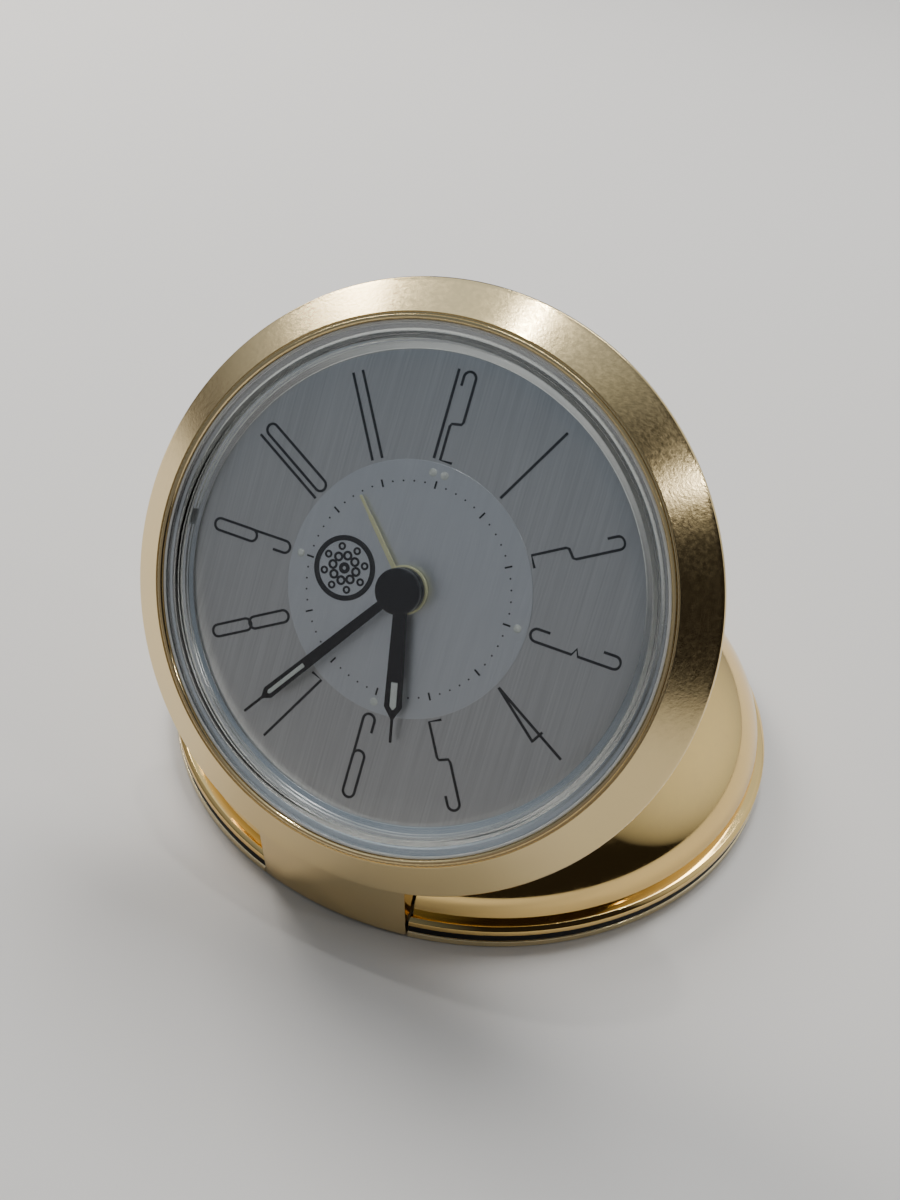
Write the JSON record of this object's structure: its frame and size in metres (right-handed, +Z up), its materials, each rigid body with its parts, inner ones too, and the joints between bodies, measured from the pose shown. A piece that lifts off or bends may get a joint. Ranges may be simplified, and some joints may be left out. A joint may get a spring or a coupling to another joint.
{
  "type": "travel alarm clock",
  "caption": "Round folding travel alarm clock: satin gold head with a silver dial and black hands, hinged to a domed lid that is its stand.",
  "frame": {"origin": "centre of the base ring, on the surface that the clock stands on", "axes": "+Z up, -Y towards the viewer, +X to the right of the dial; the hinge pin runs along X"},
  "size_m": [0.077, 0.0789, 0.0638],
  "materials": {
    "polished_gold": "polished gold plating",
    "pale_gold": "polished pale gold plating",
    "satin_gold": "satin gold plating with a fine frosted grain",
    "black_line": "black gloss",
    "liner": "short flocked pile",
    "steel": "bright steel",
    "nylon": "matt",
    "acrylic": "clear polished acrylic",
    "chapter_silver": "satin silver-white",
    "dial_silver": "fine vertical brushing",
    "dial_centre": "pale satin",
    "dial_print": "printed black ink",
    "lume": "luminous paint",
    "case_plastic": "metallic gold moulded plastic",
    "movement_plastic": "moulded plastic",
    "circuit_board": "green solder mask",
    "black_plastic": "fine moulded black",
    "copper": "enamelled copper wire",
    "wheel_plastic": "natural acetal",
    "brass": "machined brass",
    "battery_steel": "nickel-plated steel",
    "contact": "plated spring strip",
    "hand_black": "gloss black lacquer",
    "alarm_gold": "pale lime-gold lacquer"
  },
  "bodies": {
    "base": {"lid_shell": "polished_gold", "lid_black_ring": "black_line", "lid_rim_ring": "pale_gold", "lid_liner": "liner", "hinge_pin": "steel", "hinge_washers": "nylon"},
    "head": {"bezel": "satin_gold", "lens": "acrylic", "lens_gasket": "nylon", "chapter_ring": "chapter_silver", "dial": "dial_silver", "dial_centre_disc": "dial_centre", "dial_track": "dial_print", "dial_numerals": "dial_print", "lume_dots": "lume", "dial_emblem": "dial_print", "back_case": "case_plastic", "case_screws": "steel", "movement_plate": "movement_plastic", "movement_pillars": "brass", "movement_bridge": "movement_plastic", "circuit_board": "circuit_board", "quartz_crystal": "steel", "coil_bobbin": "black_plastic", "coil_winding": "copper", "stator": "steel", "buzzer": "brass", "battery_cell": "battery_steel", "battery_strip": "contact", "battery_spring": "contact"},
    "minute": {"minute_arbor": "steel", "minute_hand": "hand_black", "minute_lume": "lume"},
    "hour": {"hour_wheel": "brass", "hour_hand": "hand_black", "hour_lume": "lume"},
    "alarm": {"alarm_wheel": "brass", "alarm_hand": "alarm_gold"},
    "time_setting": {"setting_wheel": "brass", "time_knob": "black_plastic"},
    "alarm_setting": {"alarm_setting_arbor": "brass", "alarm_knob": "black_plastic"},
    "motor_rotor": {"rotor": "steel"},
    "step_gear": {"step_wheel": "wheel_plastic"},
    "hatch": {"battery_hatch": "case_plastic"},
    "alarm_slide": {"alarm_switch": "black_plastic"}
  },
  "joints": [
    {"name": "head_fold", "type": "hinge", "parent": "base", "child": "head", "pos_m": [0, -0.0352, 0.0018], "axis": [1, 0, 0], "range_deg": [0, 299.5]},
    {"name": "minute_hand_turn", "type": "hinge", "parent": "head", "child": "minute", "pos_m": [0, -0.02396, 0.03588], "axis": [0, 0.8704, -0.4924], "continuous": true},
    {"name": "hour_hand_turn", "type": "hinge", "parent": "head", "child": "hour", "pos_m": [0, -0.02396, 0.03588], "axis": [0, 0.8704, -0.4924], "continuous": true},
    {"name": "time_knob_turn", "type": "hinge", "parent": "head", "child": "time_setting", "pos_m": [-0.0052, -0.02544, 0.03327], "axis": [0, 0.8704, -0.4924], "continuous": true},
    {"name": "alarm_hand_turn", "type": "hinge", "parent": "head", "child": "alarm", "pos_m": [0, -0.02396, 0.03588], "axis": [0, 0.8704, -0.4924], "continuous": true},
    {"name": "alarm_knob_turn", "type": "hinge", "parent": "head", "child": "alarm_setting", "pos_m": [0.0054, -0.0255, 0.03317], "axis": [0, 0.8704, -0.4924], "continuous": true},
    {"name": "step_wheel_turn", "type": "hinge", "parent": "head", "child": "step_gear", "pos_m": [0, -0.01879, 0.04502], "axis": [0, 0.8704, -0.4924], "continuous": true},
    {"name": "rotor_turn", "type": "hinge", "parent": "head", "child": "motor_rotor", "pos_m": [-0.0054, -0.01879, 0.04502], "axis": [0, 0.8704, -0.4924], "continuous": true},
    {"name": "battery_hatch_twist", "type": "hinge", "parent": "head", "child": "hatch", "pos_m": [0, -0.01151, 0.03757], "axis": [0, 0.8704, -0.4924], "range_deg": [0, 45]},
    {"name": "alarm_switch_slide", "type": "slide", "parent": "head", "child": "alarm_slide", "axis": [1, 0, 0], "range_m": [0, 0.0024]}
  ],
  "couplings": [
    {"joint": "hour_hand_turn", "follows": "minute_hand_turn", "ratio": 0.083333},
    {"joint": "time_knob_turn", "follows": "minute_hand_turn", "ratio": -0.33333},
    {"joint": "alarm_knob_turn", "follows": "alarm_hand_turn", "ratio": -3.3333},
    {"joint": "rotor_turn", "follows": "step_wheel_turn", "ratio": -8}
  ]
}
